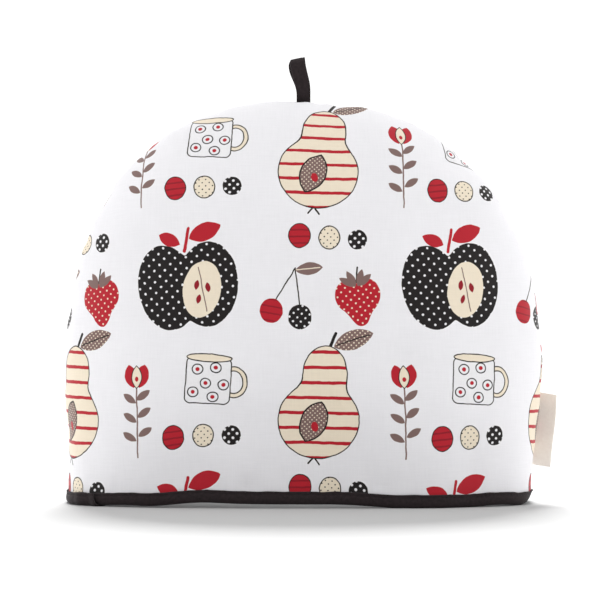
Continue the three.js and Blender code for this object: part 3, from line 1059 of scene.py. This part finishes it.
hem_angles = np.radians(np.linspace(TAPE_START, TAPE_END, HEM_SAMPLES))
hem_line = cloth_point(hem_angles, np.full(HEM_SAMPLES, 5.0), np.zeros(HEM_SAMPLES))
hem_steps = np.linalg.norm(np.diff(hem_line, axis=0), axis=1)
hem_lengths = np.concatenate([[0], np.cumsum(hem_steps)])
HEM_LENGTH = hem_lengths[-1]
print(f"tape {HEM_LENGTH:.0f} mm long")

FOLD_RIPPLES = scattered(150, (0, HEM_LENGTH), (0, 1), (2.5, 7), (-0.32, 0.32))


def tape_outline():
    outer, inner = TAPE_OUTSIDE - TAPE / 2, TAPE_INSIDE + TAPE / 2
    top, low, corner = TAPE_HEIGHT - TAPE / 2, TAPE / 2, TAPE_CORNER
    path = np.concatenate([
        straight((outer, top), (outer, low + corner), 9),
        arc((outer - corner, low + corner), corner, 0, -90, 5)[1:],
        arc((inner + corner, low + corner), corner, -90, -180, 5),
        straight((inner, low + corner), (inner, top), 7)[1:],
    ])
    return thickened(path, TAPE)


def place_on_hem(stations, outline):
    along = stations[:, None] + 0 * outline[None, :, 0]
    outside = outline[None, :, 0] + 0 * along
    level = outline[None, :, 1] + 0 * along
    to_end = HEM_LENGTH - along
    along = along - END_SLANT * (level / TAPE_HEIGHT) * (1 - smoothstep(to_end, 0, 12))
    on_top = 1 - smoothstep(to_end, LAP, LAP + 7)
    face = smoothstep(outside, -2.5, 0) * 2 - 1
    ripple = 0 * along
    for place, _, reach, out in FOLD_RIPPLES:
        ripple = ripple + out * bump(along - place, reach)
    high = np.clip(level / TAPE_HEIGHT, 0, 1)
    drawn_in = 0.28 * bump(level - STITCH_LEVEL, 1.1) * (0.75 + ripple)
    rolled = 0.22 * bump(level - 3.6, 3)
    outside = outside + face * (LAP_LIFT * on_top + rolled - drawn_in + 0.5 * ripple * high ** 3)
    outside = outside + LAP_CURL * (1 - smoothstep(to_end, 0, 7)) * (1.2 - high) * (face > 0)
    under = 1 - smoothstep(along, LAP, LAP + 10)
    level = level + (0.8 * under + 0.35 * bump(along - 25, 34)) * (1 - on_top) * (1 - high)
    level = level + 0.7 * ripple * high ** 4
    angles = np.interp(along, hem_lengths, hem_angles)
    return cloth_point(angles, level, outside)


hem_stations = np.linspace(0, HEM_LENGTH, 720)
hem_tape = make_strip("hem_tape", tape_outline(), hem_stations, place_on_hem, [charcoal_tape])
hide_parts("hem_binding")

# %% [markdown]
# ## Stitches
# Each stitch is a short length of thread that dips into the cloth at both ends. One small sphere is
# stretched for each and laid along the tape, and all of them are one mesh. They lie in the groove that
# their pull makes.

# %% Stitch builder
STITCH_LONG = 2.1
STITCH_WIDE = 0.42
STITCH_SUNK = 0.02


def make_stitches(name, places, directions, material):
    bm = bmesh.new()
    for place, direction in zip(to_frame(places), directions):
        turn = Vector(direction).to_track_quat("X", "Z").to_matrix().to_4x4()
        size = Matrix.Diagonal((STITCH_LONG / 2 * MM, STITCH_WIDE / 2 * MM, STITCH_WIDE / 2 * MM, 1))
        matrix = Matrix.Translation(place) @ turn @ size
        bmesh.ops.create_uvsphere(bm, u_segments=6, v_segments=6, radius=1, matrix=matrix)
    draw_cloth_map(bm, lambda _, loop: (loop.vert.co.x / MM, loop.vert.co.z / MM))
    return new_piece(name, bm, [material])


def stitch_row(count, length, outside):
    stations = (np.arange(count) + 0.5) / count * length
    centres = place_on_hem(stations, np.array([[outside, STITCH_LEVEL]]))[:, 0]
    ahead = place_on_hem(stations + 0.5, np.array([[outside, STITCH_LEVEL]]))[:, 0]
    return centres, ahead - centres


HEM_STITCHES = 272
outer_row = stitch_row(HEM_STITCHES, HEM_LENGTH - END_SLANT - 1, TAPE_OUTSIDE - STITCH_SUNK)
inner_row = stitch_row(HEM_STITCHES, HEM_LENGTH - END_SLANT - 1, TAPE_INSIDE + STITCH_SUNK)
hem_stitches = make_stitches(
    "hem_stitches",
    np.concatenate([outer_row[0], inner_row[0]]),
    np.concatenate([outer_row[1], inner_row[1]]),
    charcoal_thread,
)

# %% [markdown]
# ## The hanging loop
# The loop is a short tape folded in half along its length, sewn along its edges, and caught in the seam
# with both ends. It goes up, over and down behind itself, and it leans to the left, with a kink where it
# was once folded flat.

# %% Loop
LOOP_WIDTH = 9.8
LOOP_THICK = 1.6
LOOP_RISE = 27
LOOP_EYE = 6.4
LOOP_LEAN = -3.8
LOOP_BACK_SHIFT = 1.2  # the half behind shows a little at the left
LOOP_FOOT = DOME_HEIGHT - SEAM_DEPTH + 2 * CLEARANCE
LOOP_STEPS = 110
LOOP_LAYER = 0.74
LOOP_STITCH_INSET = 1.5


def loop_centre(along):
    turn = along * QUARTER
    rise = LOOP_RISE * np.cos(turn)
    eye_share = (LOOP_EYE + LOOP_THICK) / 2
    foot_share = (LOOP_THICK + CLEARANCE) / 2
    y = eye_share * np.sin(2 * turn) + foot_share * signed_power(along, 4)
    x = LOOP_LEAN * smoothstep(rise, 5, LOOP_RISE)
    x = x - LOOP_BACK_SHIFT * bump(rise - 21, 12) * smoothstep(along, 0, 0.3)
    return np.stack([x, y, rise], axis=-1)


def place_on_loop(stations, outline):
    along = stations / stations[-1] * 2 - 1
    centre = loop_centre(along)
    onward = loop_centre(along + 0.01) - loop_centre(along - 0.01)
    outwards = np.stack([0 * along, -onward[:, 2], onward[:, 1]], axis=-1)
    outwards /= np.linalg.norm(outwards, axis=1, keepdims=True)
    tilt = np.radians(11) * smoothstep(centre[:, 2], 5, LOOP_RISE)
    wideways = np.stack([np.cos(tilt), 0 * tilt, np.sin(tilt)], axis=-1)
    foot = 1 - 0.1 * (1 - smoothstep(centre[:, 2], 4, 14))
    turned_over = 1 - 0.06 * (1 - smoothstep(np.abs(along), 0, 0.22))
    wide = outline[None, :, 0, None] * (foot * turned_over)[:, None, None]
    thick = outline[None, :, 1, None]
    near_edge = bump(np.abs(wide) - (LOOP_WIDTH / 2 - LOOP_STITCH_INSET), 0.8)
    thick = thick * (1 - 0.3 * near_edge)
    points = centre[:, None] + wideways[:, None] * wide + outwards[:, None] * thick
    points[..., 2] += LOOP_FOOT
    return points


loop_line = loop_centre(np.linspace(-1, 1, LOOP_STEPS + 1))
LOOP_LENGTH = np.linalg.norm(np.diff(loop_line, axis=0), axis=1).sum()
loop_stations = np.linspace(0, LOOP_LENGTH, LOOP_STEPS + 1)
loop_outline = folded_once((LOOP_WIDTH - LOOP_LAYER) / 2, -LOOP_WIDTH / 2, LOOP_THICK, LOOP_LAYER, 10)
loop_tape = make_strip("loop_tape", loop_outline, loop_stations, place_on_loop, [charcoal_tape])
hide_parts("hanging_loop")
print(f"loop {LOOP_LENGTH:.0f} mm long")

# %% Loop stitches
loop_places, loop_directions = [], []
for side in (-1, 1):
    for skin in (-1, 1):
        spot = np.array([[side * (LOOP_WIDTH / 2 - LOOP_STITCH_INSET), skin * (LOOP_THICK / 2 - 0.1)]])
        track = place_on_loop(loop_stations, spot)[:, 0]
        loop_places.extend(track[4:-4:5])
        loop_directions.extend((track[5:-3] - track[4:-4])[::5])
loop_stitches = make_stitches("loop_stitches", np.array(loop_places), loop_directions, charcoal_thread)

# %% [markdown]
# ## The label
# A woven ribbon, folded once so that the fold is the free edge, with both ends in the side seam. It is
# blank. Its free edge droops and curls a little to the front.

# %% Label
LABEL_BOTTOM = 24
LABEL_TOP = 69.5
LABEL_REACH = 13
LABEL_REACH_AT_TOP = 11.4  # sewn in a little askew
LABEL_THICK = 1.2
LABEL_LAYER = 0.52
LABEL_DROOP = 0.6
LABEL_CURL = 1.6


def place_on_label(stations, outline):
    heights = LABEL_BOTTOM + stations
    angles = right_seam_angle(heights)
    root = cloth_point(angles, heights, np.full(len(heights), CLEARANCE - SEAM_DEPTH))
    outwards = dome_normal(angles, heights)
    sideways = np.stack([-outwards[:, 1], outwards[:, 0], 0 * heights], axis=-1)
    sideways /= np.linalg.norm(sideways, axis=1, keepdims=True)
    share = outline[None, :, 0, None] / LABEL_REACH
    reach = LABEL_REACH + (LABEL_REACH_AT_TOP - LABEL_REACH) * stations / stations[-1]
    points = root[:, None] + outwards[:, None] * share * reach[:, None, None]
    points += sideways[:, None] * outline[None, :, 1, None]
    wave = 0.35 * np.sin(stations / 46 * 5.2 + 0.6)[:, None] * share[..., 0] ** 2
    points[..., 2] -= LABEL_DROOP * share[..., 0]
    points[..., 1] += wave - LABEL_CURL * share[..., 0] ** 2
    return points


label_stations = np.linspace(0, LABEL_TOP - LABEL_BOTTOM, 60)
label_outline = folded_once(0, LABEL_REACH, LABEL_THICK, LABEL_LAYER, 12)
side_label = make_strip("side_label", label_outline, label_stations, place_on_label, [cream_ribbon])
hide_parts("label")

# %% [markdown]
# ## Studio
# The photograph is a white studio shot: light from everywhere, a little less from the camera's side, so
# the middle of the front is the darkest part of the cloth. The floor in front lies in a soft shadow that
# fades to pure white. The floor is a mid grey, so the cosy can shade it, and one wide sun behind the
# cosy shines on the floor alone: it burns the open floor out to white and leaves the shadow. A faint
# light inside the cosy keeps the gap under the raised hem grey instead of black, as in the photograph.

# %% Floor
FLOOR_IN_FRONT = 0.78  # metres, just more than the picture shows
FLOOR_HALF = 6
FLOOR_GREY = 0.47

bm = bmesh.new()
bmesh.ops.create_grid(bm, x_segments=1, y_segments=1, size=FLOOR_HALF)
bmesh.ops.translate(bm, verts=bm.verts, vec=(0, FLOOR_HALF - FLOOR_IN_FRONT, 0))
floor_mesh = bpy.data.meshes.new("floor")
bm.to_mesh(floor_mesh)
bm.free()
floor = add_object("floor", floor_mesh)
floor_material, floor_board, floor_shader = new_material("pale_floor")
floor_shader.inputs["Base Color"].default_value = (FLOOR_GREY, FLOOR_GREY, FLOOR_GREY, 1)
floor_shader.inputs["Roughness"].default_value = 0.9
floor_mesh.materials.append(floor_material)

# %% Floor light
SUN_HEIGHT = 37  # degrees above the floor
SUN_WIDTH = 28
SUN_STRENGTH = 8.6
INSIDE_STRENGTH = 0.055
INSIDE_SIZE = (0.24, 0.1)
INSIDE_LEVEL = 0.06

only_floor = bpy.data.collections.new("only_floor")
only_floor.objects.link(floor)


def floor_light(name, kind, energy):
    """A light that shines on the floor alone."""
    data = bpy.data.lights.new(name, kind)
    data.energy = energy
    light = add_object(name, data)
    light.light_linking.receiver_collection = only_floor
    return light


sun = floor_light("floor_sun", "SUN", SUN_STRENGTH)
sun.data.angle = math.radians(SUN_WIDTH)
sun.rotation_euler = (math.radians(SUN_HEIGHT - 90), 0, 0)

inside = floor_light("inside_light", "AREA", INSIDE_STRENGTH)
inside.data.shape = "ELLIPSE"
inside.data.size, inside.data.size_y = INSIDE_SIZE
inside.location = (0, 0, INSIDE_LEVEL)

# %% Sky
SKY_LEVEL = 0.88
SKY_BEHIND = 0.33
SKY_OVERHEAD = 0.47
SKY_AT_SIDES = 0.32

world = bpy.data.worlds.new("studio")
world.use_nodes = True
world.node_tree.nodes.clear()
sky = Board(world.node_tree)
direction = Wire(sky, sky.node("ShaderNodeTexCoord").outputs["Generated"])
sideways = sky.along(direction, 0)
upwards = sky.vector("DOT_PRODUCT", direction, (0, 0, 1))
level = sky.along(direction, 90) * SKY_BEHIND + SKY_LEVEL
level = level + sideways * sideways * SKY_AT_SIDES + upwards * upwards * SKY_OVERHEAD
background = sky.node("ShaderNodeBackground")
background.inputs["Color"].default_value = (1, 1, 1, 1)
sky.plug(background.inputs["Strength"], level)
sky.tree.links.new(background.outputs[0], sky.node("ShaderNodeOutputWorld").inputs[0])
bpy.context.scene.world = world
bpy.context.scene.view_settings.view_transform = "Standard"
